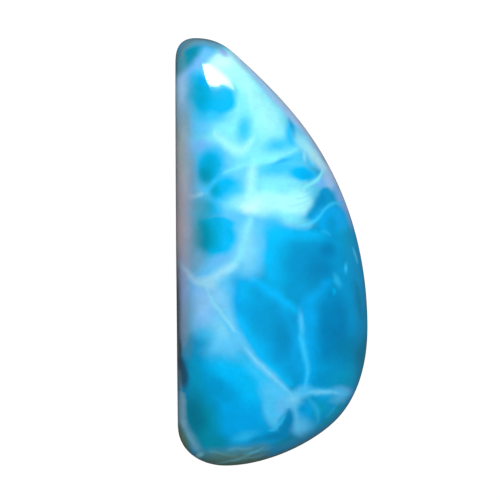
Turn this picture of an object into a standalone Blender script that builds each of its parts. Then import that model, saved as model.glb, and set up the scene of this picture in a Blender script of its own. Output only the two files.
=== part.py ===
"""Larimar cabochon: a half-moon freeform stone with a straight side, a flat back and a domed top.

Sizes are in metres. +Z is up, the flat back lies on z = 0 and the long way of the stone runs along Y.
The origin is on the back, in the middle of the outline's box.
"""

import math
from collections import namedtuple

import bmesh
import bpy
import numpy as np
from mathutils import Vector
from mathutils.geometry import interpolate_bezier

MM = 0.001

# Driving sizes of the stone
HALF_WIDTH = 9.0 * MM
HALF_LENGTH = 20.0 * MM
BEVEL = 0.35 * MM
GIRDLE_TOP = 1.5 * MM
DOME_RISE = 4.7 * MM

# How square the dome's section is towards the top, and towards the girdle. The lapidary left the shoulder
# fuller on the side that FULL_SIDE faces, in degrees from +X, and leaner on the opposite side
CROWN_POWER = 2.3
SHOULDER_POWER = 1.75
SHOULDER_SWING = 0.4
FULL_SIDE = 215.0

# The middle that the dome's rings shrink to, and how many terms shape the film that the dome follows
TOP = Vector((-0.9, -1.5, 0.0)) * MM
FILM_TERMS = 18

# How finely the loft is cut: stations along each long edge, and rings from the girdle to the top
STATIONS = 56
DOME_RINGS = 16
END_CROWDING = 0.75

# A knot of the outline: its place as shares of the half width and half length, the direction in degrees
# in which the edge runs through it, and the reach of its two curve handles, before and after it
Knot = namedtuple("Knot", "x y heading before after")

# The two edges, both from the tip at the top down to the foot
TIP = Knot(-0.79, 1.0, 0.0, 1.3 * MM, 1.5 * MM)
FOOT = Knot(-0.48, -1.0, 180.0, 3.6 * MM, 2.6 * MM)
CURVED_EDGE = (
    TIP,
    Knot(-0.39, 0.93, -42.0, 1.4 * MM, 4.2 * MM),
    Knot(0.442, 0.52, -56.5, 3.4 * MM, 6.0 * MM),
    Knot(1.0, -0.36, -90.0, 6.7 * MM, 3.5 * MM),
    Knot(0.65, -0.798, -137.5, 2.9 * MM, 3.3 * MM),
    FOOT,
)
STRAIGHT_EDGE = (
    Knot(TIP.x, TIP.y, 180.0, 0.0, 1.3 * MM),
    Knot(-1.0, 0.895, -90.0, 1.4 * MM, 14.0 * MM),
    Knot(-0.975, -0.82, -89.5, 9.0 * MM, 2.0 * MM),
    Knot(FOOT.x, FOOT.y, 0.0, 2.6 * MM, 0.0),
)


def clear_scene():
    """Empties the scene of whatever it opened with."""
    for obj in list(bpy.data.objects):
        bpy.data.objects.remove(obj)


def place_of(knot):
    """The knot's point on the outline."""
    return Vector((knot.x * HALF_WIDTH, knot.y * HALF_LENGTH, 0.0))


def along(knot):
    """The unit direction in which the edge runs through the knot."""
    turn = math.radians(knot.heading)
    return Vector((math.cos(turn), math.sin(turn), 0.0))


def edge_points(knots):
    """The edge through these knots as a chain of close points."""
    chain = [place_of(knots[0])]
    for start, end in zip(knots, knots[1:]):
        span = interpolate_bezier(
            place_of(start),
            place_of(start) + along(start) * start.after,
            place_of(end) - along(end) * end.before,
            place_of(end),
            48,
        )
        chain.extend(span[1:])
    return chain


def stations_on(chain):
    """Points spaced along the chain, closer together near its two ends, where the outline turns."""
    lengths = [0.0]
    for before, after in zip(chain, chain[1:]):
        lengths.append(lengths[-1] + (after - before).length)
    stations = []
    at = 0
    for step in range(STATIONS + 1):
        share = step / STATIONS
        eased = (1.0 - math.cos(math.pi * share)) / 2.0
        wanted = lengths[-1] * (END_CROWDING * eased + (1.0 - END_CROWDING) * share)
        while at < len(chain) - 2 and lengths[at + 1] < wanted:
            at += 1
        part = (wanted - lengths[at]) / (lengths[at + 1] - lengths[at])
        stations.append(chain[at].lerp(chain[at + 1], min(part, 1.0)))
    return stations


def outline():
    """The points of the closed outline, clockwise from the tip."""
    down = stations_on(edge_points(CURVED_EDGE))
    up = stations_on(edge_points(STRAIGHT_EDGE))[::-1]
    return down[:-1] + up[:-1]


def outward(points, index):
    """The outline's outward unit normal at a point of the clockwise ring."""
    run = points[(index + 1) % len(points)] - points[index - 1]
    return Vector((-run.y, run.x, 0.0)).normalized()


def film_terms(places):
    """The even-tension terms of a film at these places, one row for each place."""
    orders = np.arange(FILM_TERMS)
    waves = places[:, None] ** orders
    return np.hstack([waves.real, waves.imag[:, 1:]])


def flat_places(points):
    """The points seen from above, as complex numbers around the middle of the rings."""
    return np.array([complex(point.x - TOP.x, point.y - TOP.y) for point in points]) / HALF_LENGTH


def film_over(points):
    """The weights of the film that a light pressure blows up over the outline, as a soap film would be."""
    places = flat_places(points)
    return np.linalg.lstsq(film_terms(places), np.abs(places) ** 2, rcond=1e-9)[0]


def film_height(points, weights):
    """How high the film stands over these points, before it is scaled."""
    places = flat_places(points)
    return film_terms(places) @ weights - np.abs(places) ** 2


def dome_rings(points):
    """The dome's rings from the girdle up, with the top as a last ring of one point."""
    weights = film_over(points)
    slack = film_height(points, weights)
    flat, films = [], []
    for ring in range(1, DOME_RINGS + 1):
        width = math.cos(math.pi / 2.0 * ring / DOME_RINGS) ** (2.0 / CROWN_POWER)
        level = [TOP.lerp(point, width) for point in points]
        flat.append(level)
        films.append(film_height(level, weights) - slack * width**4)
    highest = max(film.max() for film in films)
    towards = math.radians(FULL_SIDE)
    for level, film in zip(flat, films):
        for spot, height in zip(level, film / highest):
            side = spot.x / HALF_WIDTH * math.cos(towards) + spot.y / HALF_LENGTH * math.sin(towards)
            share = 1.0 - (1.0 - height) ** (CROWN_POWER / 2.0)
            spot.z = GIRDLE_TOP + DOME_RISE * share ** (1.0 / (SHOULDER_POWER + SHOULDER_SWING * side))
    return flat[:-1] + [flat[-1][:1]]


def stone_rings():
    """The stone's sections from the back up to the top."""
    points = outline()
    normals = [outward(points, index) for index in range(len(points))]
    up = Vector((0.0, 0.0, 1.0))
    return [
        [point - normal * BEVEL for point, normal in zip(points, normals)],
        [point + up * BEVEL for point in points],
        [point + up * GIRDLE_TOP for point in points],
    ] + dome_rings(points)


def lofted_stone(name):
    """The stone as one closed mesh: a loft from the back's outline through the girdle and over the dome."""
    solid = bmesh.new()
    rings = [[solid.verts.new(point) for point in ring] for ring in stone_rings()]
    count = len(rings[0])
    for lower, upper in zip(rings, rings[1:-1]):
        for index in range(count):
            onward = (index + 1) % count
            solid.faces.new((lower[onward], lower[index], upper[index], upper[onward]))
    for index in range(count):
        solid.faces.new((rings[-2][index - 1], rings[-2][index], rings[-1][0]))
    solid.faces.new(rings[0])
    bmesh.ops.recalc_face_normals(solid, faces=solid.faces)
    mesh = bpy.data.meshes.new(name)
    solid.to_mesh(mesh)
    solid.free()
    return mesh


def larimar():
    """Polished larimar: a clear sky blue, glossy, with no metal in it."""
    material = bpy.data.materials.new("polished_larimar")
    material.use_nodes = True
    shader = material.node_tree.nodes["Principled BSDF"]
    shader.inputs["Base Color"].default_value = (0.05, 0.45, 0.8, 1.0)
    shader.inputs["Roughness"].default_value = 0.12
    shader.inputs["Metallic"].default_value = 0.0
    shader.inputs["IOR"].default_value = 1.6
    return material


def main():
    clear_scene()
    collection = bpy.data.collections.new("larimar_cabochon")
    bpy.context.scene.collection.children.link(collection)
    mesh = lofted_stone("cabochon")
    mesh.materials.append(larimar())
    mesh.shade_smooth()
    mesh.set_sharp_from_angle(angle=math.radians(35.0))
    stone = bpy.data.objects.new("cabochon", mesh)
    collection.objects.link(stone)


main()
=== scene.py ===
"""Dresses the larimar cabochon: its polish, its sky-blue growth cells and pale seams, and the studio.

Sizes are in millimetres, apart from the lamps', and are turned to metres where they meet the scene. Seen
from above, +X runs from the straight side to the curved side and +Y towards the narrow tip.
"""

import logging
import math
from dataclasses import dataclass, field
from enum import Enum

import bmesh
import bpy
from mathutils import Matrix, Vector, interpolate


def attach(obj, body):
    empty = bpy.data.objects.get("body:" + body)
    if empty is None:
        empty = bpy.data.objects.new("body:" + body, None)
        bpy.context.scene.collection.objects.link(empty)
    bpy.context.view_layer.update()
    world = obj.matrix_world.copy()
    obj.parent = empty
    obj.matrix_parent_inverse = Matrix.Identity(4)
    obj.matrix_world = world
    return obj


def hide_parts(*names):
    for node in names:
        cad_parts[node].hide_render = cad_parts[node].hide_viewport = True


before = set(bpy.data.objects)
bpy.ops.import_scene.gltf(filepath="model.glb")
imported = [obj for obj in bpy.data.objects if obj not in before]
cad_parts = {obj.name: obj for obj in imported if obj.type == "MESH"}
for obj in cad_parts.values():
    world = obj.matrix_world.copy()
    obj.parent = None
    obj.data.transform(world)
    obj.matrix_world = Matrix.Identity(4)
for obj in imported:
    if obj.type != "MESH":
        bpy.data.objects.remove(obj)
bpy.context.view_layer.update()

MM = 0.001
LOG = logging.getLogger("larimar")

Tree = bpy.types.NodeTree
Socket = bpy.types.NodeSocket


class Tint(Enum):
    """The colours of the rough, as sRGB hex: pectolite coloured by copper, and at the rim host rock, painted
    shade and painted reflection.
    """

    DEEP = "#0080BA"
    BLUE = "#008CC6"
    AZURE = "#009CD6"
    SKY = "#00ACF2"
    CYAN = "#00C0FF"
    TURQUOISE = "#00A4CC"
    MARINE = "#0084B0"
    TEAL = "#0092B0"
    DARK_TEAL = "#007A9A"
    BRIGHT_SKY = "#30C8FF"
    LIGHT_SKY = "#5CCCFF"
    ICE = "#88E0FF"
    AQUA = "#84F0FF"
    FOAM = "#ACFCFF"
    WHITE = "#D0FFFF"
    CERULEAN = "#68C4FF"
    CORNFLOWER = "#74C0FF"
    FROST = "#A8E0FF"
    MIST = "#88C0D8"
    POWDER = "#A0CCF8"
    LAVENDER = "#98B4E8"
    PERIWINKLE = "#8CA4E8"
    LILAC_GREY = "#CCC0CA"
    STONE_GREY = "#B4C8CC"
    SLATE = "#90A8C4"
    SLATE_GREEN = "#587880"
    HARBOUR = "#3098C8"
    STEEL = "#649CB8"
    BLUE_GREY = "#70AED2"
    SMOKE_TEAL = "#4C98AC"
    NAVY = "#1C5878"
    CHARCOAL = "#405054"
    OLIVE = "#5C8474"


def linear(hex_colour: str, alpha: float = 1.0) -> tuple[float, float, float, float]:
    """Turns an sRGB hex colour into linear light.

    Args:
        hex_colour: The colour as "#RRGGBB".
        alpha: The fourth channel.

    Returns:
        The linear red, green, blue and alpha.
    """
    channels = [int(hex_colour[at : at + 2], 16) / 255.0 for at in (1, 3, 5)]
    light = [c / 12.92 if c <= 0.04045 else ((c + 0.055) / 1.055) ** 2.4 for c in channels]
    return (*light, alpha)


def add_node(tree: Tree, kind: str, inputs: dict | None = None, **settings: object) -> bpy.types.Node:
    """Adds a node with its settings, and sets or links its inputs.

    Args:
        tree: The tree that gets the node.
        kind: The node's type name.
        inputs: Values, sockets, or nodes for their first output, by the input's name or number.
        **settings: The node's own properties.

    Returns:
        The new node.
    """
    node = tree.nodes.new(kind)
    for name, value in settings.items():
        setattr(node, name, value)
    for key, value in (inputs or {}).items():
        if isinstance(value, bpy.types.Node):
            value = value.outputs[0]
        if isinstance(value, Socket):
            tree.links.new(value, node.inputs[key])
        else:
            node.inputs[key].default_value = value
    return node


def add_sockets(tree: Tree, inputs: dict[str, str], output: str, kind: str) -> None:
    """Gives a node group its inputs and its one output.

    Args:
        tree: The group.
        inputs: The type of each input, by its name.
        output: The output's name.
        kind: The output's type.
    """
    for name, given in inputs.items():
        tree.interface.new_socket(name, in_out="INPUT", socket_type=given)
    tree.interface.new_socket(output, in_out="OUTPUT", socket_type=kind)


def empty_material(name: str) -> bpy.types.Material:
    """Makes a material whose node tree is still empty.

    Args:
        name: The material's name.

    Returns:
        The material.
    """
    material = bpy.data.materials.new(name)
    material.use_nodes = True
    material.node_tree.nodes.clear()
    return material


def fit_curve(mapping: bpy.types.CurveMapping, points: list[tuple[float, float]]) -> None:
    """Runs a curve smoothly through points, and level beyond its ends.

    Args:
        mapping: The curve, which has two points so far.
        points: The points that it runs through, both ways from 0 to 1.
    """
    curve = mapping.curves[0]
    while len(curve.points) < len(points):
        curve.points.new(0.5, 0.5)
    for knot, (x, y) in zip(curve.points, points):
        knot.location = (x, y)
    mapping.extend = "HORIZONTAL"
    mapping.use_clip = False
    mapping.update()


@dataclass(frozen=True)
class Patch:
    """One soft oval of colour in the stone.

    The edge is how much of the oval its fade takes, from 0, crisp, to 1, all of it.
    """

    tint: Tint
    x: float
    y: float
    across: float
    along: float
    turn: float = 0.0
    edge: float = 0.5
    strength: float = 1.0


@dataclass(frozen=True)
class Vein:
    """One thread or band of colour that follows a bent line, thinning out at its two ends."""

    tint: Tint
    line: tuple[tuple[float, float], ...]
    width: float
    fade: float = 0.2
    strength: float = 1.0
    blunt: bool = False


# Growth cells, clouds, seams and threads, from the broad ones below to the small ones on top
LAYERS = (
    # The blue ground of the middle, by the curved side
    Patch(Tint.BLUE, 4.7, -7.4, 3.2, 5.2, -6, 0.8),
    Patch(Tint.DEEP, 5.8, -7.2, 1.5, 2.6, -6, 0.9, 0.9),
    Vein(Tint.AZURE, ((6.6, -3.4), (7.2, -5.0), (7.4, -6.6), (7.1, -8.4)), 0.8, 0.8, 0.9),
    Vein(Tint.DARK_TEAL, ((7.5, -2.6), (7.95, -3.8), (8.2, -5.2), (8.4, -6.6)), 0.35, 0.5, 0.8),
    Patch(Tint.MARINE, 7.3, -9.6, 1.6, 1.6, 0, 0.8, 0.9),
    Patch(Tint.DARK_TEAL, 8.4, -9.6, 0.6, 1.6, -10, 0.8, 0.7),
    Patch(Tint.AZURE, 5.0, -11.0, 2.2, 1.2, 10, 0.9, 0.9),
    Patch(Tint.TURQUOISE, 6.9, -11.7, 1.2, 0.9, 30, 0.9, 0.7),
    Patch(Tint.AZURE, 6.7, -1.8, 1.1, 1.8, 0, 0.8, 0.8),
    Patch(Tint.TURQUOISE, 6.9, 1.5, 0.7, 1.7, 12, 0.9, 0.45),
    Patch(Tint.CYAN, 6.4, 2.9, 0.6, 0.9, 12, 0.9, 0.6),
    # The blue ground of the foot
    Patch(Tint.SKY, -2.9, -14.4, 3.0, 4.0, 10, 0.7),
    Patch(Tint.CYAN, -3.3, -10.9, 2.0, 1.0, -8, 0.8),
    Patch(Tint.CYAN, -1.6, -12.4, 1.5, 1.4, 30, 0.7),
    Patch(Tint.AZURE, -4.3, -12.8, 1.2, 0.8, -30, 0.8, 0.7),
    Patch(Tint.AZURE, -5.9, -13.0, 1.1, 2.2, 6, 0.9, 0.9),
    Patch(Tint.TURQUOISE, -7.1, -11.6, 0.7, 2.0, 0, 0.9, 0.7),
    Patch(Tint.TEAL, -6.6, -15.6, 1.6, 2.6, 8, 0.7),
    Patch(Tint.DARK_TEAL, -7.0, -15.2, 0.9, 1.9, 6, 0.8, 0.9),
    Patch(Tint.TEAL, -5.4, -17.5, 1.5, 0.7, -12, 0.8, 0.9),
    # The pale ground of the head and of the straight side
    Patch(Tint.LIGHT_SKY, -4.2, 4.6, 4.2, 6.8, 0, 0.35),
    Patch(Tint.LIGHT_SKY, -3.0, 9.8, 5.4, 7.8, 24, 0.4),
    Patch(Tint.LIGHT_SKY, -5.2, -5.4, 2.9, 4.7, 18, 0.25),
    Patch(Tint.CORNFLOWER, -6.6, -4.6, 1.4, 2.4, 8, 0.7, 0.95),
    Patch(Tint.FROST, -4.8, -4.2, 0.7, 1.5, 25, 0.9, 0.35),
    Patch(Tint.CYAN, -4.2, -10.5, 1.8, 0.9, -8, 0.8, 0.9),
    Patch(Tint.BLUE_GREY, -7.8, -6.4, 0.6, 2.2, 0, 0.8, 0.9),
    Patch(Tint.AZURE, -6.8, -8.4, 1.0, 0.8, 10, 0.9, 0.9),
    Patch(Tint.SMOKE_TEAL, -7.6, -8.6, 0.5, 1.0, 0, 0.9, 0.4),
    Patch(Tint.FROST, -6.3, -4.8, 1.0, 1.5, 0, 0.9, 0.4),
    Patch(Tint.ICE, -4.6, -7.0, 1.2, 0.9, 25, 0.9, 0.6),
    Patch(Tint.BRIGHT_SKY, -6.0, -7.6, 0.8, 0.6, 0, 0.9, 0.6),
    # The head
    Patch(Tint.AQUA, -1.7, 11.8, 3.1, 6.8, 28, 0.5, 0.95),
    Patch(Tint.AQUA, -4.6, 10.8, 2.3, 0.9, 14, 0.7),
    Patch(Tint.FOAM, -4.0, 17.1, 1.5, 1.7, 40, 0.5, 0.95),
    Patch(Tint.FOAM, -2.4, 15.6, 0.8, 2.0, 34, 0.8, 0.8),
    Patch(Tint.FOAM, -0.5, 12.4, 1.1, 1.7, 24, 0.9, 0.7),
    Patch(Tint.CORNFLOWER, -7.1, 17.4, 0.8, 1.7, -38, 0.6, 0.95),
    Patch(Tint.CERULEAN, -6.1, 18.45, 0.6, 0.5, 0, 0.8, 0.9),
    Patch(Tint.WHITE, -4.6, 17.6, 0.9, 0.6, 0, 0.9, 0.8),
    Patch(Tint.BRIGHT_SKY, -6.9, 16.2, 0.6, 0.6, 0, 0.8, 0.8),
    Patch(Tint.TEAL, -7.75, 18.4, 0.8, 1.6, -32, 0.6, 0.95),
    # The steel, smoke-teal and slate-green bands round the tip are painted shade and the painted reflection
    # of the dark room on the steep rim
    Vein(Tint.STEEL, ((-8.6, 17.0), (-8.5, 18.2), (-7.9, 19.3), (-6.8, 19.7), (-5.4, 19.4), (-4.0, 18.5)),
         0.7, 0.35, 0.9),
    Patch(Tint.PERIWINKLE, -4.4, 18.5, 0.5, 0.25, -38, 0.8, 0.8),
    # The pale band down the straight side's shoulder is the painted reflection of the grey room on the slope
    Patch(Tint.POWDER, -8.7, 14.4, 1.0, 2.3, 0, 0.6, 0.9),
    Patch(Tint.FROST, -8.6, 14.5, 0.6, 2.0, 0, 0.8, 0.6),
    Patch(Tint.SMOKE_TEAL, -8.7, 17.4, 0.65, 1.1, -12, 0.5, 0.8),
    Vein(Tint.SLATE_GREEN,
         ((-8.95, 16.6), (-8.7, 18.1), (-8.0, 19.3), (-6.8, 19.9), (-5.3, 19.65), (-3.9, 18.95)),
         0.35, 0.3, 0.8),
    Vein(Tint.SLATE_GREEN,
         ((-9.5, 17.2), (-9.3, 18.6), (-8.6, 19.9), (-7.2, 20.5), (-5.4, 20.2), (-3.6, 19.2)),
         1.3, 0.3, 0.95),
    Patch(Tint.BLUE_GREY, -7.9, 12.0, 0.8, 1.4, 0, 0.8, 0.95),
    Patch(Tint.LIGHT_SKY, -6.7, 11.8, 0.8, 1.0, 10, 0.8, 0.9),
    Patch(Tint.BRIGHT_SKY, -5.6, 12.6, 1.5, 0.6, 0, 0.8, 0.9),
    Patch(Tint.BRIGHT_SKY, -2.5, 11.2, 0.6, 1.2, -4, 0.9, 0.95),
    Patch(Tint.CYAN, -5.2, 14.2, 1.9, 1.4, 0, 0.3),
    Patch(Tint.CYAN, -4.4, 13.7, 1.0, 0.95, 0, 0.35),
    Patch(Tint.CYAN, -6.3, 15.3, 0.8, 0.8, -20, 0.4, 0.95),
    Patch(Tint.CYAN, -6.5, 13.6, 0.7, 0.8, 0, 0.5, 0.95),
    Patch(Tint.TURQUOISE, -5.5, 14.4, 1.3, 1.3, 0, 0.9, 0.35),
    Patch(Tint.TURQUOISE, -6.9, 14.5, 0.8, 1.6, 4, 0.9, 0.8),
    Patch(Tint.SKY, -6.5, 15.9, 0.5, 0.4, -30, 0.9, 0.7),
    Vein(Tint.FOAM, ((-2.4, 16.2), (-2.2, 15.4), (-2.05, 14.4), (-1.85, 13.0)), 0.3, 0.3, 0.8),
    # The pale arcs and the cells under the head
    Vein(Tint.FOAM, ((-5.6, 11.2), (-4.9, 10.4), (-4.0, 9.6), (-2.9, 9.2), (-2.1, 9.7), (-1.4, 10.9)),
         0.8, 0.6, 0.85),
    Patch(Tint.CORNFLOWER, -6.7, 9.8, 1.1, 0.6, 5, 0.8, 0.9),
    Patch(Tint.LAVENDER, -8.1, 9.3, 0.45, 1.0, 10, 0.9, 0.6),
    Patch(Tint.BLUE_GREY, -7.4, 7.2, 0.8, 2.0, 0, 0.8, 0.95),
    Patch(Tint.CYAN, -5.7, 7.9, 1.2, 1.7, 0, 0.5),
    Patch(Tint.TURQUOISE, -5.9, 7.4, 0.8, 1.3, -6, 0.9, 0.9),
    Patch(Tint.TEAL, -6.2, 7.0, 0.5, 0.6, 0, 0.9, 0.7),
    Patch(Tint.CYAN, -4.2, 5.65, 1.4, 1.15, 4, 0.35),
    Patch(Tint.TURQUOISE, -5.2, 5.55, 0.5, 0.6, 0, 0.8, 0.8),
    Patch(Tint.CYAN, -5.2, 4.0, 0.7, 0.9, 0, 0.8, 0.8),
    Patch(Tint.AQUA, -3.3, 4.4, 1.2, 0.7, 6, 0.9, 0.7),
    Patch(Tint.TURQUOISE, -6.0, 4.0, 0.6, 0.9, 0, 0.9, 0.8),
    Patch(Tint.SMOKE_TEAL, -6.9, 4.0, 0.8, 1.1, 0, 0.9, 0.7),
    Patch(Tint.CYAN, -5.0, 1.3, 1.7, 1.6, 0, 0.25),
    Patch(Tint.CYAN, -5.0, 2.5, 1.6, 0.6, 0, 0.25, 0.95),
    Patch(Tint.TURQUOISE, -5.7, 1.4, 0.8, 1.7, 0, 0.8, 0.9),
    Patch(Tint.TEAL, -6.4, 1.4, 0.7, 1.6, 0, 0.6, 0.95),
    Patch(Tint.SMOKE_TEAL, -7.2, 1.4, 0.6, 1.8, 0, 0.9, 0.8),
    Patch(Tint.BLUE_GREY, -7.0, -0.9, 0.9, 1.0, -20, 0.8, 0.9),
    Patch(Tint.CORNFLOWER, -5.0, -0.9, 1.0, 0.5, 20, 0.9, 0.6),
    # The sky and the foam across the middle
    Patch(Tint.BRIGHT_SKY, 0.6, 7.6, 2.0, 0.7, 4, 0.8, 0.9),
    Patch(Tint.BRIGHT_SKY, 0.7, 9.8, 1.2, 0.6, 14, 0.9, 0.9),
    Patch(Tint.BRIGHT_SKY, 2.0, 8.6, 1.0, 0.5, 0, 0.9, 0.8),
    Patch(Tint.SKY, 0.9, 8.2, 0.8, 0.2, 14, 0.8, 0.7),
    Patch(Tint.AQUA, 0.6, 5.6, 2.9, 0.9, 2, 0.8, 0.95),
    Patch(Tint.FOAM, 0.2, 4.3, 3.3, 1.1, -4, 0.4),
    Patch(Tint.FOAM, 2.6, 4.9, 0.9, 0.7, -40, 0.8, 0.8),
    Patch(Tint.WHITE, -1.9, 4.2, 0.8, 0.5, 10, 0.9, 0.8),
    Vein(Tint.LIGHT_SKY, ((2.1, 4.85), (2.6, 4.95), (3.1, 5.1), (3.6, 5.4)), 0.1, 0.14, 0.5),
    Vein(Tint.LIGHT_SKY, ((2.8, 5.45), (3.2, 5.6), (3.6, 5.8), (3.9, 6.1)), 0.1, 0.14, 0.5),
    Vein(Tint.LIGHT_SKY, ((1.4, 4.1), (2.0, 4.15), (2.7, 4.4), (3.3, 4.8)), 0.12, 0.2, 0.35),
    # The shoulder by the curved side, whose pale band is partly foam in the stone and partly a painted
    # reflection of the sky
    Patch(Tint.POWDER, 1.5, 13.2, 0.45, 2.6, 42, 0.8, 0.8),
    Patch(Tint.POWDER, 4.1, 9.4, 0.45, 1.6, 32, 0.7, 0.8),
    Patch(Tint.FROST, 4.8, 7.9, 0.4, 1.0, 30, 0.8, 0.9),
    Patch(Tint.CYAN, 1.8, 11.0, 0.5, 1.2, 4, 0.7, 0.95),
    Vein(Tint.AZURE, ((1.55, 12.6), (1.75, 11.9), (1.95, 11.2), (2.15, 10.4)), 0.3, 0.2, 0.9),
    Patch(Tint.ICE, 2.95, 8.7, 0.16, 0.5, 0, 0.8, 0.9),
    Patch(Tint.CYAN, 2.75, 7.15, 1.1, 0.6, -10, 0.4),
    Patch(Tint.SKY, 3.1, 7.1, 0.5, 0.35, -20, 0.8, 0.7),
    Patch(Tint.POWDER, 5.3, 6.6, 0.7, 0.9, 28, 0.6, 0.95),
    Patch(Tint.CORNFLOWER, 4.4, 6.3, 0.5, 0.5, 0, 0.8, 0.8),
    Patch(Tint.BRIGHT_SKY, 3.6, 8.1, 0.25, 0.25, 0, 0.9, 0.8),
    Patch(Tint.ICE, 3.3, 9.6, 0.6, 1.5, 36, 0.9, 0.9),
    Patch(Tint.FOAM, 2.9, 10.0, 0.5, 0.8, 40, 0.9, 0.4),
    Patch(Tint.WHITE, 4.0, 8.7, 0.45, 1.0, 36, 0.9, 0.5),
    Vein(Tint.AQUA, ((4.7, 7.7), (4.3, 6.9), (3.8, 6.4), (3.3, 6.1), (2.6, 5.8)), 0.35, 0.2, 0.9),
    Patch(Tint.CORNFLOWER, 6.4, 4.9, 0.4, 1.2, 22, 0.8, 0.9),
    Patch(Tint.LAVENDER, 6.8, 4.4, 0.3, 1.8, 20, 0.8, 0.8),
    Patch(Tint.SKY, 5.6, 3.0, 1.4, 1.2, 0, 0.4),
    Patch(Tint.AZURE, 5.35, 2.5, 0.5, 0.7, 0, 0.8, 0.85),
    Patch(Tint.AZURE, 4.9, 5.3, 0.65, 0.55, -10, 0.35, 0.95),
    Patch(Tint.SKY, 3.9, 3.6, 0.5, 0.9, -38, 0.7, 0.8),
    Vein(Tint.AZURE, ((5.2, 5.9), (4.6, 5.0), (4.1, 4.2), (3.5, 3.4), (2.7, 2.6)), 0.5, 0.25, 0.95),
    Patch(Tint.BLUE, 4.3, 4.6, 0.4, 0.8, -35, 0.9, 0.7),
    Vein(Tint.BRIGHT_SKY,
         ((6.9, 4.6), (6.2, 4.5), (5.5, 4.4), (4.8, 3.9), (4.2, 3.2), (3.5, 2.7), (2.2, 2.3)),
         0.3, 0.2),
    Patch(Tint.AQUA, 1.3, 3.05, 1.7, 0.5, -10, 0.9, 0.85),
    Vein(Tint.ICE, ((0.2, 3.0), (1.2, 2.6), (2.2, 2.2), (2.9, 2.15), (3.7, 2.6)), 0.35, 0.6, 0.6),
    # The broad cell of the middle
    Patch(Tint.CYAN, 0.3, -0.3, 1.2, 3.2, 4, 0.5),
    Patch(Tint.CYAN, 1.9, 1.5, 2.3, 0.65, -2, 0.6),
    Patch(Tint.AZURE, 2.4, -1.5, 2.0, 2.4, 0, 0.8, 0.95),
    Patch(Tint.BLUE, 3.8, -1.4, 1.6, 1.7, 0, 0.8, 0.95),
    Patch(Tint.DEEP, 4.5, -1.7, 0.9, 0.8, 0, 0.9, 0.8),
    Patch(Tint.DEEP, 5.0, 0.1, 0.7, 0.6, 0, 0.8, 0.95),
    Vein(Tint.BRIGHT_SKY, ((4.3, 1.9), (4.7, 1.85), (5.1, 1.65), (5.4, 1.35)), 0.2, 0.2, 0.5),
    # The almond cell, its bright sides and the three seams that meet at its corner
    Patch(Tint.SKY, -0.6, -6.6, 2.3, 5.2, 27, 0.2),
    Patch(Tint.SKY, -1.9, -4.0, 1.1, 1.5, 0, 0.3),
    Patch(Tint.CYAN, -2.3, -3.6, 0.7, 0.9, 12, 0.8, 0.9),
    Vein(Tint.CYAN, ((-3.2, -5.4), (-2.2, -7.4), (-1.2, -9.0), (0.2, -10.7), (2.0, -12.2)), 0.9, 0.5, 0.95),
    Patch(Tint.AZURE, -0.3, -6.2, 1.6, 3.0, 20, 0.8, 0.9),
    Patch(Tint.BLUE, 1.0, -8.1, 0.9, 2.2, 12, 0.9, 0.9),
    Vein(Tint.SKY, ((5.8, -2.6), (5.1, -3.0), (4.4, -3.7), (3.4, -4.4), (2.2, -5.1)), 0.7, 0.7, 0.85),
    Vein(Tint.CYAN, ((-2.2, -2.5), (-1.0, -2.9), (0.2, -3.7), (1.2, -4.6), (2.6, -5.8)), 0.5, 0.55),
    Patch(Tint.SKY, 3.2, -5.9, 0.9, 1.2, 0, 0.9, 0.9),
    Vein(Tint.SKY, ((3.2, -5.0), (3.2, -7.0), (3.2, -9.0), (3.2, -11.0), (3.0, -13.2)), 1.6, 0.9, 0.95),
    Vein(Tint.BRIGHT_SKY,
         ((2.1, -5.4), (2.75, -6.5), (2.75, -8.0), (3.0, -9.4), (3.15, -11.0), (2.9, -12.8)),
         0.4, 0.3),
    Patch(Tint.LIGHT_SKY, 2.65, -6.3, 0.25, 0.9, 14, 0.9, 0.4),
    # The seam from the foam to the straight side, with its halo
    Patch(Tint.LIGHT_SKY, -1.7, 0.6, 0.95, 2.2, 0, 0.45, 0.95),
    Patch(Tint.LIGHT_SKY, -2.0, -1.1, 0.95, 1.1, 20, 0.8, 0.95),
    Patch(Tint.LIGHT_SKY, -2.8, -1.4, 0.9, 0.8, 20, 0.7, 0.8),
    Patch(Tint.ICE, -2.1, 0.2, 0.6, 1.6, 0, 0.9, 0.7),
    Vein(Tint.ICE, ((-1.7, 3.6), (-2.3, 1.8), (-2.7, 0.4), (-3.3, -0.8), (-4.4, -1.7), (-6.3, -3.2)),
         1.0, 0.6, 0.9),
    Vein(Tint.AQUA, ((-1.7, 3.8), (-2.2, 2.2), (-2.5, 0.8), (-3.0, -0.4), (-3.8, -1.4), (-5.0, -2.1)),
         0.5, 0.4, 0.6),
    Vein(Tint.FOAM, ((-1.6, 8.6), (-1.8, 7.4), (-2.0, 6.0), (-1.9, 4.2)), 0.8, 0.5, 0.8),
    Vein(Tint.FROST, ((-8.4, 4.9), (-7.6, 5.0), (-6.8, 5.2), (-6.2, 5.45)), 0.3, 0.3, 0.7),
    Vein(Tint.BRIGHT_SKY, ((-6.2, 5.5), (-5.6, 6.0), (-4.9, 6.6), (-4.1, 7.2), (-3.0, 7.75)),
         0.4, 0.35, 0.95),
    Vein(Tint.AQUA,
         ((-4.6, 6.9), (-3.6, 7.5), (-2.6, 7.9), (-1.6, 8.15), (-0.4, 8.4), (0.8, 8.75), (2.4, 9.6)),
         0.4, 0.35, 0.95),
    Vein(Tint.FROST, ((-8.9, -0.3), (-8.4, -1.2), (-7.8, -1.9), (-7.2, -2.5), (-6.2, -3.0)),
         0.5, 0.35, 0.7),
    Patch(Tint.FROST, -6.2, -2.75, 0.8, 0.4, -10, 0.8, 0.9),
    Vein(Tint.FROST, ((-6.4, -3.1), (-5.6, -2.5), (-4.8, -2.0), (-4.0, -1.5), (-3.2, -0.9)), 0.5, 0.4, 0.7),
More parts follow.
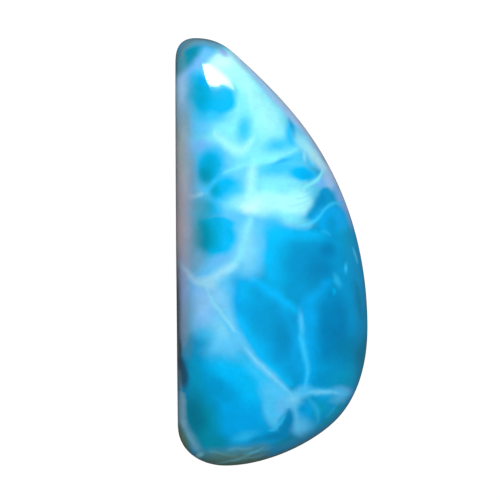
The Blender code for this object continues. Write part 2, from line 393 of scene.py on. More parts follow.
    Patch(Tint.FROST, -5.8, -2.85, 0.4, 0.45, 20, 0.9, 0.9),
    Patch(Tint.ICE, -6.0, -2.85, 0.8, 0.5, 0, 0.9, 0.5),
    # The long seam down to the star at the foot
    Vein(Tint.BRIGHT_SKY, ((-3.4, -9.0), (-2.4, -10.0), (-1.4, -11.0), (-0.5, -11.8), (0.9, -12.7)),
         0.9, 0.5, 0.9),
    Vein(Tint.LIGHT_SKY,
         ((-4.6, -6.0), (-3.7, -7.1), (-2.8, -8.1), (-1.8, -9.5), (-0.6, -10.7), (1.9, -13.2)),
         0.7, 0.3),
    Vein(Tint.ICE, ((-6.2, -3.1), (-5.5, -4.2), (-4.9, -5.2), (-4.3, -6.0), (-3.8, -6.6), (-3.2, -7.3)),
         0.3, 0.22),
    Vein(Tint.ICE, ((-2.6, -8.4), (-1.7, -9.5), (-0.8, -10.4), (0.2, -11.4), (1.8, -13.0)), 0.22, 0.2, 0.6),
    Patch(Tint.LIGHT_SKY, 0.4, -13.0, 1.4, 0.9, -30, 0.7, 0.9),
    Patch(Tint.LIGHT_SKY, 0.2, -14.5, 0.95, 1.6, 6, 0.45, 0.95),
    Patch(Tint.BRIGHT_SKY, 0.2, -14.0, 1.0, 1.6, 0, 0.9, 0.5),
    Patch(Tint.CERULEAN, 1.2, -14.1, 0.7, 0.8, 0, 0.8, 0.8),
    Patch(Tint.LIGHT_SKY, 2.8, -12.8, 0.8, 0.5, 10, 0.8, 0.8),
    # The small cells between the arms of the star
    Patch(Tint.BLUE, 1.35, -16.2, 0.85, 1.3, 0, 0.3, 0.9),
    Vein(Tint.BLUE, ((1.65, -14.2), (1.55, -14.8), (1.5, -15.3), (1.4, -16.2)), 0.7, 0.3, 0.9),
    Patch(Tint.AZURE, -0.3, -17.1, 1.8, 0.45, 12, 0.7, 0.95),
    Patch(Tint.BLUE, 0.3, -16.9, 0.9, 0.3, 12, 0.8, 0.9),
    Patch(Tint.TEAL, 1.2, -17.5, 1.2, 0.3, 20, 0.8, 0.8),
    Vein(Tint.BRIGHT_SKY, ((1.3, -14.9), (0.95, -15.4), (0.6, -15.8), (0.1, -16.2), (-0.6, -16.4)),
         0.25, 0.2, 0.9),
    Patch(Tint.BRIGHT_SKY, -2.5, -16.9, 1.0, 0.4, 20, 0.9, 0.7),
    Patch(Tint.CERULEAN, 2.9, -16.2, 0.9, 0.7, 10, 0.8, 0.8),
    Patch(Tint.SKY, 3.05, -14.7, 0.75, 0.95, 10, 0.5, 0.95),
    Patch(Tint.MARINE, 2.85, -14.3, 0.25, 0.4, 0, 0.9, 0.3),
    Patch(Tint.SKY, 4.8, -14.1, 0.95, 0.9, -20, 0.5, 0.95),
    Patch(Tint.TURQUOISE, 4.6, -14.3, 0.8, 0.7, -20, 0.9, 0.8),
    Patch(Tint.TURQUOISE, 6.3, -14.8, 0.5, 0.7, -40, 0.8),
    Patch(Tint.TURQUOISE, 5.2, -15.8, 1.1, 0.45, 42, 0.8),
    Patch(Tint.BRIGHT_SKY, 3.3, -16.2, 0.9, 0.7, 10, 0.9, 0.5),
    Patch(Tint.LIGHT_SKY, 2.75, -16.2, 0.6, 0.9, 10, 0.9, 0.7),
    Vein(Tint.LIGHT_SKY, ((1.9, -13.2), (2.05, -14.2), (2.2, -15.2), (2.4, -16.0), (2.8, -17.2)),
         0.4, 0.35, 0.9),
    Vein(Tint.BRIGHT_SKY, ((3.2, -13.2), (3.8, -14.0), (4.2, -14.8), (4.2, -15.9)), 0.35, 0.35, 0.7),
    Patch(Tint.CERULEAN, 6.6, -13.0, 0.9, 0.45, -8, 0.9, 0.9),
    Patch(Tint.LIGHT_SKY, 6.2, -13.7, 0.7, 0.4, 0, 0.9, 0.7),
    Vein(Tint.BRIGHT_SKY, ((2.4, -12.8), (3.2, -12.9), (4.2, -12.85), (5.4, -12.95), (7.4, -13.3)),
         0.6, 0.4, 0.8),
    Vein(Tint.LIGHT_SKY, ((2.0, -13.3), (3.2, -12.95), (4.5, -12.85), (5.5, -12.95), (7.2, -13.3)),
         0.3, 0.25),
    Vein(Tint.ICE, ((3.4, -12.9), (4.3, -12.85), (5.2, -12.9), (6.2, -13.1)), 0.16, 0.2, 0.5),
    Patch(Tint.LIGHT_SKY, 1.9, -13.5, 0.8, 0.7, 10, 0.8, 0.9),
    Patch(Tint.ICE, 1.9, -13.4, 0.5, 0.5, 10, 0.9, 0.45),
    Vein(Tint.BRIGHT_SKY, ((6.1, -13.7), (5.8, -14.4), (5.4, -14.95), (4.8, -15.4)), 0.25, 0.3, 0.5),
    # The greyed shoulder of the straight side: painted shade and the painted reflection of the grey room on
    # the slope, partly host rock
    Patch(Tint.SLATE, -8.1, 3.4, 0.8, 5.4, 0, 0.9, 0.8),
    Patch(Tint.STONE_GREY, -8.9, 9.0, 1.0, 3.6, 0, 0.9),
    Patch(Tint.LILAC_GREY, -8.9, 2.0, 1.0, 5.4, 0, 0.9),
    Patch(Tint.LAVENDER, -8.4, -3.4, 0.5, 2.6, 0, 0.8, 0.8),
    Vein(Tint.FROST, ((-8.8, -0.4), (-8.3, -1.2), (-7.7, -1.9), (-7.1, -2.5)), 0.3, 0.3, 0.55),
    Patch(Tint.SLATE, -8.3, -6.8, 0.45, 1.8, 0, 0.8, 0.8),
    Patch(Tint.CHARCOAL, -8.7, -10.2, 0.5, 2.3, 0, 0.3, 0.95),
    Patch(Tint.NAVY, -8.3, -11.2, 0.6, 1.3, 0, 0.4, 0.9),
    Vein(Tint.MIST, ((-8.5, -12.9), (-8.5, -14.0), (-8.5, -15.2), (-8.3, -16.4)), 1.0, 0.35, 0.9, True),
    Vein(Tint.MIST, ((-8.3, -15.4), (-8.0, -16.5), (-7.4, -17.5), (-6.9, -18.2), (-6.5, -18.8)),
         0.6, 0.6, 0.75),
    # The pale band along the head's curved shoulder is a painted reflection of the sky
    Vein(Tint.POWDER, ((-4.0, 18.6), (-2.3, 17.0), (-0.9, 15.6), (0.6, 13.9), (2.0, 12.2), (3.3, 10.7)),
         0.55, 0.3, 0.85),
    # The olive, smoke-teal and harbour bands at the foot: partly host rock, partly painted shade on the
    # slope that faces away from the light
    Patch(Tint.OLIVE, -8.2, -17.5, 0.4, 1.4, 24, 0.6, 0.95),
    Vein(Tint.SMOKE_TEAL, ((-6.8, -18.4), (-5.2, -18.6), (-3.4, -18.4), (-1.8, -18.2), (0.0, -17.9)),
         0.9, 0.5, 0.8),
    Vein(Tint.OLIVE, ((-7.4, -19.3), (-6.0, -19.5), (-4.3, -19.5), (-2.4, -19.3), (0.2, -19.0)),
         1.1, 0.6, 0.95),
    Vein(Tint.HARBOUR, ((-1.6, -18.4), (0.4, -18.2), (2.0, -17.8), (3.6, -17.1), (5.4, -16.1)),
         0.9, 0.6, 0.7),
    Vein(Tint.OLIVE, ((-6.6, -18.8), (-5.0, -19.05), (-3.4, -18.95), (-1.8, -18.7), (0.0, -18.3)),
         0.9, 0.6, 0.6),
    Vein(Tint.ICE, ((-5.4, -19.8), (-4.4, -19.45), (-3.2, -19.05), (-1.8, -18.5), (-0.6, -18.0)),
         0.16, 0.16, 0.45),
    Vein(Tint.ICE, ((-6.0, -18.35), (-5.0, -18.5), (-4.0, -18.75), (-3.0, -18.8)), 0.2, 0.25, 0.25),
    Vein(Tint.ICE, ((-4.2, -18.25), (-3.4, -18.1), (-2.6, -18.15), (-1.8, -18.05)), 0.2, 0.25, 0.25),
    Vein(Tint.ICE, ((-3.9, -19.4), (-2.8, -19.1), (-1.6, -18.9), (-0.4, -18.6)), 0.14, 0.16, 0.3),
    Vein(Tint.BRIGHT_SKY, ((-3.0, -18.75), (-2.0, -18.45), (-1.0, -18.35), (0.2, -17.9)), 0.14, 0.16, 0.35),
    Vein(Tint.OLIVE, ((-5.6, -18.5), (-4.6, -18.75), (-3.4, -18.85), (-2.2, -18.6)), 0.2, 0.2, 0.7),
    Patch(Tint.FOAM, -6.7, -18.85, 0.35, 0.18, 35, 0.9, 0.5),
    # Flecks near the curved side
    Vein(Tint.LIGHT_SKY, ((7.55, 0.4), (7.6, -0.1), (7.75, -0.6), (7.95, -1.2)), 0.12, 0.15, 0.8),
    Patch(Tint.BRIGHT_SKY, 6.75, -1.6, 0.16, 0.4, 0, 0.9, 0.85),
    Patch(Tint.BRIGHT_SKY, 6.0, -2.6, 0.22, 0.55, 22, 0.9, 0.6),
    Patch(Tint.CYAN, 5.75, -3.6, 0.16, 0.25, 0, 0.9, 0.5),
)

# Tints that show only where the rim is steep: the host rock, and painted shade and painted reflections of
# the room
RIM_ROCK_AND_SHADE = (
    Patch(Tint.SLATE_GREEN, -7.9, 19.4, 3.8, 3.4, 0, 0.4),
    Patch(Tint.LILAC_GREY, 1.5, 13.0, 2.0, 8.6, 36, 0.4, 0.7),
    Patch(Tint.CHARCOAL, -9.0, -5.8, 1.2, 4.3, 0, 0.9, 0.85),
    Patch(Tint.OLIVE, -8.6, -18.4, 1.9, 2.2, 0, 0.7, 0.9),
    Patch(Tint.OLIVE, -1.5, -20.0, 5.5, 1.8, 14, 0.5, 0.8),
    Patch(Tint.STEEL, 4.6, -17.5, 4.5, 1.4, 36, 0.5, 0.4),
    Patch(Tint.TEAL, 8.9, -6.0, 0.9, 9.0, -4, 0.8, 0.6),
)


@dataclass(frozen=True)
class PolishedLarimar:
    """Larimar: blue pectolite in growth cells with white seams, cut and polished to a glassy face.

    A tin-oxide polish gives the dome sharp reflections over a colour that seems to lie just under the
    surface. The back is only sawn and lapped, and stays satin. The index and the polish are pectolite's.
    The rim and the lapped back are told from the dome by how far up the surface faces, from 1 to -1.
    Wander and fray are how far the pattern bends, and mottle and fibre how much it lightens and darkens,
    each over its own size.
    """

    ground: Tint = Tint.AZURE
    index: float = 1.6
    polish: float = 0.06
    lapped: float = 0.45
    lapped_facing: tuple[float, float] = (-0.6, -0.9)
    rim_facing: tuple[float, float] = (0.62, 0.3)
    wander: float = 0.3
    wander_size: float = 3.0
    side_wander: float = 3.5
    fray: float = 0.12
    fray_size: float = 0.8
    mottle: float = 0.05
    mottle_size: float = 1.3
    fibre: float = 0.03
    fibre_size: float = 0.35
    noise_span: tuple[float, float] = (0.3, 0.7)
    taper: tuple[tuple[float, float], ...] = ((0.12, 0.85), (0.5, 1.0), (0.88, 0.85))
    blunt_end: float = 0.45
    least_swing: float = 0.01
    batch: int = 12
    tie: float = 1e-9

    def make(self) -> bpy.types.Material:
        """Builds the material.

        Returns:
            The finished larimar.
        """
        material = empty_material("polished_larimar")
        tree = material.node_tree
        spot = add_node(tree, "ShaderNodeTexCoord").outputs
        facing = add_node(tree, "ShaderNodeSeparateXYZ", {0: spot["Normal"]}).outputs["Z"]
        steep = self.steepness(tree, facing)
        place = self.wandered(tree, spot["Object"], steep)
        colour = add_node(tree, "ShaderNodeRGB").outputs[0]
        colour.default_value = linear(self.ground.value)
        oval = self.oval_group()
        for count, layer in enumerate(LAYERS, start=1):
            if isinstance(layer, Patch):
                share = self.oval_share(tree, oval, place, layer)
            else:
                share = self.seam_share(tree, place, layer)
            colour = self.laid_over(tree, colour, layer.tint, share)
            if count % self.batch == 0:
                place = self.tied(tree, place, colour)
        colour = self.mottled(tree, spot["Object"], colour)
        # Host rock, painted shade and painted reflections on the steep rim
        colour = self.rimmed_and_shaded(tree, oval, steep, place, colour)
        start, end = self.lapped_facing
        rough = add_node(
            tree, "ShaderNodeMapRange", {0: facing, 1: start, 2: end, 3: self.polish, 4: self.lapped}
        )
        shader = add_node(
            tree, "ShaderNodeBsdfPrincipled", {"Base Color": colour, "Roughness": rough, "IOR": self.index}
        )
        add_node(tree, "ShaderNodeOutputMaterial", {"Surface": shader})
        return material

    def steepness(self, tree: Tree, facing: Socket) -> Socket:
        """How steep the surface is, from 0 on the dome to 1 on the rim and the back.

        Args:
            tree: The material's tree.
            facing: How far up the surface faces.

        Returns:
            The steepness.
        """
        start, end = self.rim_facing
        steep = add_node(
            tree,
            "ShaderNodeMapRange",
            {0: facing, 1: start, 2: end, 3: 0.0, 4: 1.0},
            interpolation_type="SMOOTHSTEP",
        )
        return steep.outputs[0]

    def wandered(self, tree: Tree, place: Socket, steep: Socket) -> Socket:
        """Bends straight places so that seams wander and cell edges fray, as crystals grow.

        Down the sides they wander further, so that no colour falls straight from the face to the back.

        Args:
            tree: The material's tree.
            place: The object's own coordinates, in metres.
            steep: The steepness of the surface.

        Returns:
            The bent coordinates.
        """
        for reach, size, detail, sides in (
            (self.wander, self.wander_size, 1.0, self.side_wander),
            (self.fray, self.fray_size, 3.0, 1.0),
        ):
            noise = add_node(
                tree, "ShaderNodeTexNoise", {"Vector": place, "Scale": 1.0 / (size * MM), "Detail": detail}
            )
            further = add_node(tree, "ShaderNodeMapRange", {0: steep, 1: 0.0, 2: 1.0, 3: 1.0, 4: sides})
            centred = add_node(
                tree,
                "ShaderNodeVectorMath",
                {0: noise.outputs["Color"], 1: (0.5, 0.5, 0.5)},
                operation="SUBTRACT",
            )
            grown = add_node(tree, "ShaderNodeVectorMath", {0: centred, "Scale": further}, operation="SCALE")
            moved = add_node(
                tree,
                "ShaderNodeVectorMath",
                {0: grown, 1: (reach * 2.0 * MM,) * 3, 2: place},
                operation="MULTIPLY_ADD",
            )
            place = moved.outputs[0]
        return place

    def tied(self, tree: Tree, place: Socket, colour: Socket) -> Socket:
        """Makes the layers that follow wait for those below, so that a renderer works in batches.

        The colour moves the place by a nanometre at most, which nothing can show.

        Args:
            tree: The material's tree.
            place: The bent coordinates.
            colour: The colour so far.

        Returns:
            The same coordinates, tied to the colour.
        """
        node = add_node(
            tree, "ShaderNodeVectorMath", {0: colour, 1: (self.tie,) * 3, 2: place}, operation="MULTIPLY_ADD"
        )
        return node.outputs[0]

    def oval_group(self) -> Tree:
        """The group that says how far inside a soft oval a place lies.

        Returns:
            The group, from place, centre, turn, reach, fade and strength to a share.
        """
        group = bpy.data.node_groups.new("soft_oval", "ShaderNodeTree")
        vectors = dict.fromkeys(("Place", "Centre", "Turn", "Reach"), "NodeSocketVector")
        numbers = dict.fromkeys(("Inside", "Outside", "Strength"), "NodeSocketFloat")
        add_sockets(group, vectors | numbers, "Share", "NodeSocketFloat")
        given = add_node(group, "NodeGroupInput").outputs
        local = add_node(
            group,
            "ShaderNodeMapping",
            {0: given["Place"], 1: given["Centre"], 2: given["Turn"], 3: given["Reach"]},
            vector_type="TEXTURE",
        )
        far = add_node(group, "ShaderNodeVectorMath", {0: local}, operation="LENGTH")
        share = add_node(
            group,
            "ShaderNodeMapRange",
            {0: far.outputs["Value"], 1: given["Outside"], 2: given["Inside"], 3: 0.0, 4: given["Strength"]},
            interpolation_type="SMOOTHSTEP",
        )
        add_node(group, "NodeGroupOutput", {"Share": share})
        return group

    def oval_share(self, tree: Tree, group: Tree, place: Socket, patch: Patch) -> Socket:
        """How much of a patch's colour shows at a place.

        Args:
            tree: The material's tree.
            group: The soft oval group.
            place: The bent coordinates.
            patch: The patch.

        Returns:
            The share, from 0 to the patch's strength.
        """
        inputs = {
            "Place": place,
            "Centre": (patch.x * MM, patch.y * MM, 0.0),
            "Turn": (0.0, 0.0, math.radians(patch.turn)),
            "Reach": (patch.across * MM, patch.along * MM, 1.0),
            "Inside": 1.0 - patch.edge,
            "Outside": 1.0 + patch.edge,
            "Strength": patch.strength,
        }
        return add_node(tree, "ShaderNodeGroup", inputs, node_tree=group).outputs["Share"]

    def laid_over(self, tree: Tree, under: Socket, tint: Tint, share: Socket) -> Socket:
        """Lays a tint over the colour so far, as much as its share says."""
        mix = {0: share, 6: under, 7: linear(tint.value)}
        return add_node(tree, "ShaderNodeMix", mix, data_type="RGBA").outputs[2]

    def seam_share(self, tree: Tree, place: Socket, vein: Vein) -> Socket:
        """How much of a vein's colour shows at a place.

        The vein is read along the straight line between its ends: one curve gives how far to the side it
        lies, and a second one how wide it is.

        Args:
            tree: The material's tree.
            place: The bent coordinates.
            vein: The vein.

        Returns:
            The share, from 0 to the vein's strength.
        """
        first, last = Vector(vein.line[0]), Vector(vein.line[-1])
        chord = last - first
        run = chord.normalized()
        offsets = [Vector(point) - first for point in vein.line]
        steps = [(gap.dot(run) / chord.length, run.x * gap.y - run.y * gap.x) for gap in offsets]
        swing = max(abs(side) for share, side in steps) + self.least_swing
        local = add_node(
            tree,
            "ShaderNodeMapping",
            {
                "Vector": place,
                "Location": (first.x * MM, first.y * MM, 0.0),
                "Rotation": (0.0, 0.0, math.atan2(run.y, run.x)),
                "Scale": (chord.length * MM, MM, 1.0),
            },
            vector_type="TEXTURE",
        )
        split = add_node(tree, "ShaderNodeSeparateXYZ", {0: local})
        along, across = split.outputs["X"], split.outputs["Y"]
        bend = add_node(tree, "ShaderNodeFloatCurve", {"Factor": 1.0, "Value": along})
        fit_curve(bend.mapping, [(share, 0.5 + side / swing / 2.0) for share, side in steps])
        shift = add_node(
            tree, "ShaderNodeMath", {0: bend, 1: -2.0 * swing, 2: across}, operation="MULTIPLY_ADD"
        )
        centred = add_node(tree, "ShaderNodeMath", {0: shift, 1: swing}, operation="ADD")
        gap = add_node(tree, "ShaderNodeMath", {0: centred}, operation="ABSOLUTE")
        ends = self.blunt_end if vein.blunt else 0.0
        thick = add_node(tree, "ShaderNodeFloatCurve", {"Factor": 1.0, "Value": along})
        fit_curve(thick.mapping, [(0.0, ends), *self.taper, (1.0, ends)])
        full = vein.width / 2.0 + vein.fade
        reach = add_node(
            tree, "ShaderNodeMath", {0: thick, 1: full, 2: -vein.fade}, operation="MULTIPLY_ADD"
        )
        depth = add_node(tree, "ShaderNodeMath", {0: reach, 1: gap}, operation="SUBTRACT")
        share = add_node(
            tree,
            "ShaderNodeMapRange",
            {0: depth, 1: -vein.fade, 2: vein.fade, 3: 0.0, 4: vein.strength},
            interpolation_type="SMOOTHSTEP",
        )
        return share.outputs[0]

    def mottled(self, tree: Tree, place: Socket, under: Socket) -> Socket:
        """Breaks flat colour up with the faint clouding and the fine fibres of pectolite.

        Args:
            tree: The material's tree.
            place: The object's own coordinates.
            under: The colour so far.

        Returns:
            The mottled colour.
        """
        low, high = self.noise_span
        for size, detail, share in (
            (self.mottle_size, 2.0, self.mottle),
            (self.fibre_size, 4.0, self.fibre),
        ):
            noise = add_node(
                tree, "ShaderNodeTexNoise", {"Vector": place, "Scale": 1.0 / (size * MM), "Detail": detail}
            )
            gain = add_node(
                tree, "ShaderNodeMapRange", {0: noise, 1: low, 2: high, 3: 1.0 - share, 4: 1.0 + share}
            )
            lit = add_node(tree, "ShaderNodeVectorMath", {0: under, "Scale": gain}, operation="SCALE")
            under = lit.outputs[0]
        return under

    def rimmed_and_shaded(self, tree: Tree, group: Tree, steep: Socket, place: Socket, under: Socket) -> Socket:
        """Lays the host rock, and the painted shade and painted reflections of the rim, where the rim is
        steep.

        Args:
            tree: The material's tree.
            group: The soft oval group.
            steep: The steepness of the surface.
            place: The bent coordinates.
            under: The colour so far.

        Returns:
            The colour with the rim's rock and painted shade on it.
        """
        for patch in RIM_ROCK_AND_SHADE:
            share = self.oval_share(tree, group, place, patch)
            both = add_node(tree, "ShaderNodeMath", {0: share, 1: steep}, operation="MULTIPLY")
            under = self.laid_over(tree, under, patch.tint, both.outputs[0])
        return under


@dataclass
class Cabochon:
    """The stone: the frame's solid made smooth, with the faint waves of a polish held by hand."""

    node: str = "cabochon"
    slot: str = "larimar"
    body: str = "root"
    finish: PolishedLarimar = field(default_factory=PolishedLarimar)
    merge_gap: float = 0.001
    pair_angle: float = 30.0
    pair_shape: float = 120.0
    back_facing: float = -0.999
    rounds: int = 2
    wave_depth: float = 0.006
    wave_size: float = 3.5
    girdle: float = 1.5

    def build(self) -> bpy.types.Object:
        """Builds the visible stone over the frame's node.

        Returns:
            The stone.
        """
        mesh = self.smooth_copy()
        rough = bpy.data.objects.new("stone_blank", mesh)
        bpy.context.scene.collection.objects.link(rough)
        material = self.finish.make()
        rounding = rough.modifiers.new("rounding", "SUBSURF")
        rounding.levels = self.rounds
        rounding.render_levels = self.rounds
        polish = rough.modifiers.new("polish", "NODES")
        polish.node_group = self.polish_tree()
        sizes = {
            "Depth": self.wave_depth * MM,
            "Wave": self.wave_size * MM,
            "Girdle": self.girdle * MM,
            "Material": material,
        }
        for item in polish.node_group.interface.items_tree:
            if item.in_out == "INPUT" and item.name in sizes:
                polish[item.identifier] = sizes[item.name]
        depsgraph = bpy.context.evaluated_depsgraph_get()
        finished = bpy.data.meshes.new_from_object(rough.evaluated_get(depsgraph), depsgraph=depsgraph)
        bpy.data.objects.remove(rough)
        finished.name = "larimar_stone"
        finished.shade_smooth()
        stone = bpy.data.objects.new("larimar_stone", finished)
        bpy.context.scene.collection.objects.link(stone)
        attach(stone, self.body)
        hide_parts(self.node)
        LOG.info("stone: %d faces", len(finished.polygons))
        return stone

    def smooth_copy(self) -> bpy.types.Mesh:
        """Copies the frame's node with its loose triangles merged and paired into the loft's quads.

        The edge of the flat back is creased, so that the rounding leaves it where it is.

        Returns:
            The merged copy.
        """
        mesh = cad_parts[self.node].data.copy()
        solid = bmesh.new()
        solid.from_mesh(mesh)
        bmesh.ops.remove_doubles(solid, verts=solid.verts, dist=self.merge_gap * MM)
        bmesh.ops.join_triangles(
            solid,
            faces=solid.faces,
            angle_face_threshold=math.radians(self.pair_angle),
            angle_shape_threshold=math.radians(self.pair_shape),
        )
        crease = solid.edges.layers.float.new("crease_edge")
        for edge in solid.edges:
            edge[crease] = float(sum(face.normal.z < self.back_facing for face in edge.link_faces) == 1)
        solid.to_mesh(mesh)
        solid.free()
        return mesh

    def polish_tree(self) -> Tree:
        """The tree that lays the faint waves of hand polishing on the stone, fading down the girdle.

        Returns:
            The geometry node tree, with its depth, wave length, girdle height and material as inputs.
        """
        tree = bpy.data.node_groups.new("hand_polish", "GeometryNodeTree")
        sizes = dict.fromkeys(("Depth", "Wave", "Girdle"), "NodeSocketFloat")
        inputs = {"Geometry": "NodeSocketGeometry", **sizes, "Material": "NodeSocketMaterial"}
        add_sockets(tree, inputs, "Geometry", "NodeSocketGeometry")
        given = add_node(tree, "NodeGroupInput").outputs
        place = add_node(tree, "GeometryNodeInputPosition").outputs[0]
        normal = add_node(tree, "GeometryNodeInputNormal").outputs[0]
        fine = add_node(tree, "ShaderNodeMath", {0: 1.0, 1: given["Wave"]}, operation="DIVIDE")
        noise = add_node(tree, "ShaderNodeTexNoise", {"Vector": place, "Scale": fine, "Detail": 0.0})
        height = add_node(tree, "ShaderNodeMapRange", {0: noise, 1: 0.0, 2: 1.0, 3: -1.0, 4: 1.0})
        split = add_node(tree, "ShaderNodeSeparateXYZ", {0: place})
        dome = add_node(tree, "ShaderNodeMapRange", {0: split.outputs["Z"], 1: 0.0, 2: given["Girdle"]})
        depth = add_node(tree, "ShaderNodeMath", {0: dome, 1: given["Depth"]}, operation="MULTIPLY")
        lift = add_node(tree, "ShaderNodeMath", {0: height, 1: depth}, operation="MULTIPLY")
        offset = add_node(tree, "ShaderNodeVectorMath", {0: normal, "Scale": lift}, operation="SCALE")
        waved = add_node(tree, "GeometryNodeSetPosition", {"Geometry": given["Geometry"], "Offset": offset})
        real = add_node(tree, "GeometryNodeRealizeInstances", {"Geometry": waved})
        dressed = add_node(
            tree, "GeometryNodeSetMaterial", {"Geometry": real, "Material": given["Material"]}
        )
        add_node(tree, "NodeGroupOutput", {"Geometry": dressed})
        return tree


@dataclass(frozen=True)
class Lamp:
    """A flat studio lamp: where it hangs, in metres, its side, and how bright its face is.

    It points at the stone, and neither the camera nor the polish shows it.
    """

    name: str
    place: tuple[float, float, float]
    side: float
    radiance: float


@dataclass(frozen=True)
class WhiteAcrylic:
    """The table top: a milky acrylic sheet lit from inside.

    It looks white and gives the stone little light. From below it is clear, so that the stone's back can
    be looked at.
    """

    colour: str = "#585A5C"
    glow: float = 0.97

    def make(self) -> bpy.types.Material:
        """Builds the material.

        Returns:
            The finished acrylic.
        """
        material = empty_material("white_acrylic")
        tree = material.node_tree
        face = add_node(tree, "ShaderNodeBsdfDiffuse", {"Color": linear(self.colour)})
        pale = add_node(tree, "ShaderNodeEmission", {"Color": linear("#FFFFFF"), "Strength": self.glow})
        seen = add_node(tree, "ShaderNodeLightPath").outputs["Is Camera Ray"]
        glow = add_node(tree, "ShaderNodeMixShader", {0: seen, 2: pale})
        lit = add_node(tree, "ShaderNodeAddShader", {0: face, 1: glow})
        clear = add_node(tree, "ShaderNodeBsdfTransparent")
        back = add_node(tree, "ShaderNodeNewGeometry").outputs["Backfacing"]
        both = add_node(tree, "ShaderNodeMixShader", {0: back, 1: lit, 2: clear})
        add_node(tree, "ShaderNodeOutputMaterial", {"Surface": both})
        return material


@dataclass(frozen=True)
class WindowLight:
    """The light of a window, as bright as its "open_share" says from place to place."""

    radiance: float = 24.0

    def make(self) -> bpy.types.Material:
        """Builds the material.

        Returns:
            The finished light.
        """
        material = empty_material("window_light")
        tree = material.node_tree
        share = add_node(tree, "ShaderNodeAttribute", attribute_name="open_share").outputs["Fac"]
        strength = add_node(tree, "ShaderNodeMath", {0: share, 1: self.radiance}, operation="MULTIPLY")
        light = {"Color": linear("#FFFFFF"), "Strength": strength}
        glow = add_node(tree, "ShaderNodeEmission", light)
        add_node(tree, "ShaderNodeOutputMaterial", {"Surface": glow})
        return material


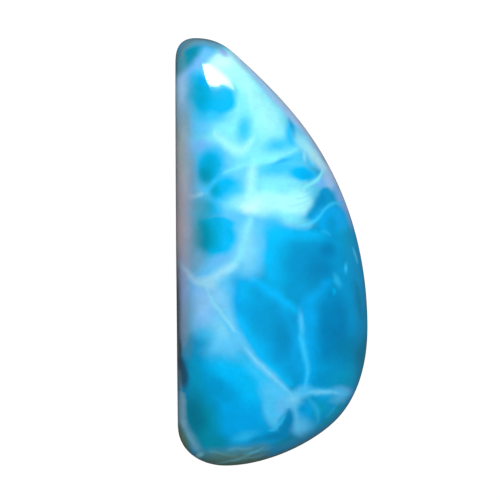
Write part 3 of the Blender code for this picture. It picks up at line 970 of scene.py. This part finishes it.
@dataclass
class Studio:
    """The plain pale table, the soft lamps and the camera that looks straight down."""

    lens: float = 120.0
    sensor: float = 36.0
    picture_width: float = 46.73
    picture_centre: tuple[float, float] = (-2.01, 0.16)
    outline_height: float = 1.5
    table_half: float = 900.0
    table_drop: float = 0.02
    back_facing: float = -0.99
    # The glint's middle and corners on the stone, each with how open the window is there
    glint_middle: tuple[float, float, float] = (-5.4, 16.1, 0.8)
    glint: tuple[tuple[float, float, float], ...] = (
        (-6.4, 17.2, 1.0),
        (-6.1, 16.0, 1.0),
        (-5.75, 15.25, 1.0),
        (-5.0, 15.2, 1.0),
        (-4.4, 15.45, 0.9),
        (-3.5, 14.9, 0.5),
        (-3.8, 15.9, 0.1),
        (-4.6, 16.8, 0.0),
        (-5.5, 17.4, 0.1),
    )
    glint_distance: float = 300.0
    sight_start: float = 50.0
    # The room's light overhead and at the walls, and how high a look meets each
    ceiling: float = 0.03
    walls: float = 0.07
    wall_top: tuple[float, float] = (0.9, 0.1)
    room_colour: str = "#F0F4FA"
    backdrop: float = 0.88
    lamps: tuple[Lamp, ...] = (
        Lamp("softbox", (0.12, 0.15, 0.75), 1.1, 2.15),
        Lamp("under_light", (0.1, -0.1, -0.6), 0.8, 1.7),
    )

    def build(self, stone: bpy.types.Object) -> None:
        """Sets the table, the lamps, the surroundings and the camera around the stone.

        Args:
            stone: The finished stone.
        """
        self.table(stone)
        for lamp in self.lamps:
            self.hang(lamp)
        self.window(stone)
        self.surroundings()
        self.camera()

    def table(self, stone: bpy.types.Object) -> None:
        """Lays the pale table, lit from inside as a light table is, and open to a look from below.

        It is cut out under the flat of the stone, so that the lamp below lights the stone's back.

        Args:
            stone: The finished stone.
        """
        top = bmesh.new()
        top.from_mesh(stone.data)
        others = [face for face in top.faces if face.normal.z > self.back_facing]
        bmesh.ops.delete(top, geom=others, context="FACES")
        inner = [edge for edge in top.edges if not edge.is_boundary]
        bmesh.ops.delete(top, geom=inner, context="EDGES_FACES")
        half = self.table_half * MM
        ring = ((-half, -half), (half, -half), (half, half), (-half, half))
        corners = [top.verts.new((x, y, 0.0)) for x, y in ring]
        for start, end in zip(corners, corners[1:] + corners[:1]):
            top.edges.new((start, end))
        bmesh.ops.triangle_fill(top, use_beauty=True, edges=top.edges, normal=(0.0, 0.0, 1.0))
        mesh = bpy.data.meshes.new("table")
        top.to_mesh(mesh)
        top.free()
        mesh.materials.append(WhiteAcrylic().make())
        table = bpy.data.objects.new("table", mesh)
        table.location.z = -self.table_drop * MM
        bpy.context.scene.collection.objects.link(table)

    def hang(self, lamp: Lamp) -> None:
        """Hangs one lamp.

        Args:
            lamp: The lamp.
        """
        light = bpy.data.lights.new(lamp.name, "AREA")
        light.size = lamp.side
        light.energy = lamp.radiance * math.pi * lamp.side**2
        holder = bpy.data.objects.new(lamp.name, light)
        holder.location = lamp.place
        holder.rotation_euler = (-Vector(lamp.place)).to_track_quat("-Z", "Y").to_euler()
        holder.visible_glossy = False
        holder.visible_camera = False
        bpy.context.scene.collection.objects.link(holder)

    def window(self, stone: bpy.types.Object) -> None:
        """Hangs the small bright window that the camera sees mirrored in the stone as the glint.

        Args:
            stone: The finished stone.
        """
        spots = (self.glint_middle, *self.glint)
        corners = [self.mirrored(stone, x, y) for x, y, share in spots]
        count = len(self.glint)
        panes = [(0, corner + 1, (corner + 1) % count + 1) for corner in range(count)]
        mesh = bpy.data.meshes.new("window")
        mesh.from_pydata(corners, [], panes)
        open_share = mesh.attributes.new("open_share", "FLOAT", "POINT")
        open_share.data.foreach_set("value", [share for x, y, share in spots])
        mesh.materials.append(WindowLight().make())
        window = bpy.data.objects.new("window", mesh)
        window.visible_camera = False
        bpy.context.scene.collection.objects.link(window)

    def mirrored(self, stone: bpy.types.Object, x: float, y: float) -> Vector:
        """Follows the camera's sight from one spot of the polished face to where it meets the window.

        Args:
            stone: The finished stone.
            x: The spot on the stone, in millimetres.
            y: The same, towards the tip.

        Returns:
            The place on the window, in metres.
        """
        above = Vector((x, y, self.sight_start)) * MM
        hit, spot, normal, index = stone.ray_cast(above, Vector((0.0, 0.0, -1.0)))
        corners = [stone.data.vertices[number] for number in stone.data.polygons[index].vertices]
        shares = interpolate.poly_3d_calc([corner.co for corner in corners], spot)
        blend = sum((corner.normal * share for corner, share in zip(corners, shares)), Vector())
        smooth = blend.normalized()
        eye = (self.eye() - spot).normalized()
        return spot + (2.0 * eye.dot(smooth) * smooth - eye) * self.glint_distance * MM

    def surroundings(self) -> None:
        """Fills the room with dim, even light, and puts a pale backdrop behind the table."""
        world = bpy.data.worlds.new("room")
        world.use_nodes = True
        tree = world.node_tree
        tree.nodes.clear()
        spot = add_node(tree, "ShaderNodeTexCoord")
        split = add_node(tree, "ShaderNodeSeparateXYZ", {0: spot.outputs["Generated"]})
        high, low = self.wall_top
        glow = add_node(
            tree,
            "ShaderNodeMapRange",
            {0: split.outputs["Z"], 1: high, 2: low, 3: self.ceiling, 4: self.walls},
            interpolation_type="SMOOTHSTEP",
        )
        seen = add_node(tree, "ShaderNodeLightPath").outputs["Is Camera Ray"]
        mix = {0: seen, 2: glow, 3: self.backdrop}
        pale = add_node(tree, "ShaderNodeMix", mix, data_type="FLOAT").outputs[0]
        light = {"Color": linear(self.room_colour), "Strength": pale}
        room = add_node(tree, "ShaderNodeBackground", light)
        add_node(tree, "ShaderNodeOutputWorld", {"Surface": room})
        bpy.context.scene.world = world

    def eye(self) -> Vector:
        """Where the camera stands: the width of the picture sets how far up.

        Returns:
            The place, in metres.
        """
        distance = self.picture_width * MM * self.lens / self.sensor
        x, y = self.picture_centre
        return Vector((x * MM, y * MM, self.outline_height * MM + distance))

    def camera(self) -> None:
        """Sets the camera straight over the stone, with the tip at the top of the picture."""
        data = bpy.data.cameras.new("camera")
        data.lens = self.lens
        data.sensor_width = self.sensor
        data.clip_start = MM
        camera = bpy.data.objects.new("camera", data)
        camera.location = self.eye()
        bpy.context.scene.collection.objects.link(camera)
        scene = bpy.context.scene
        scene.camera = camera
        scene.view_settings.view_transform = "Standard"


def main() -> None:
    """Builds the stone and then the studio around it."""
    logging.basicConfig(level=logging.INFO, format="%(name)s: %(message)s")
    stone = Cabochon().build()
    Studio().build(stone)
    LOG.info("studio: done")


if __name__ == "__main__":
    main()
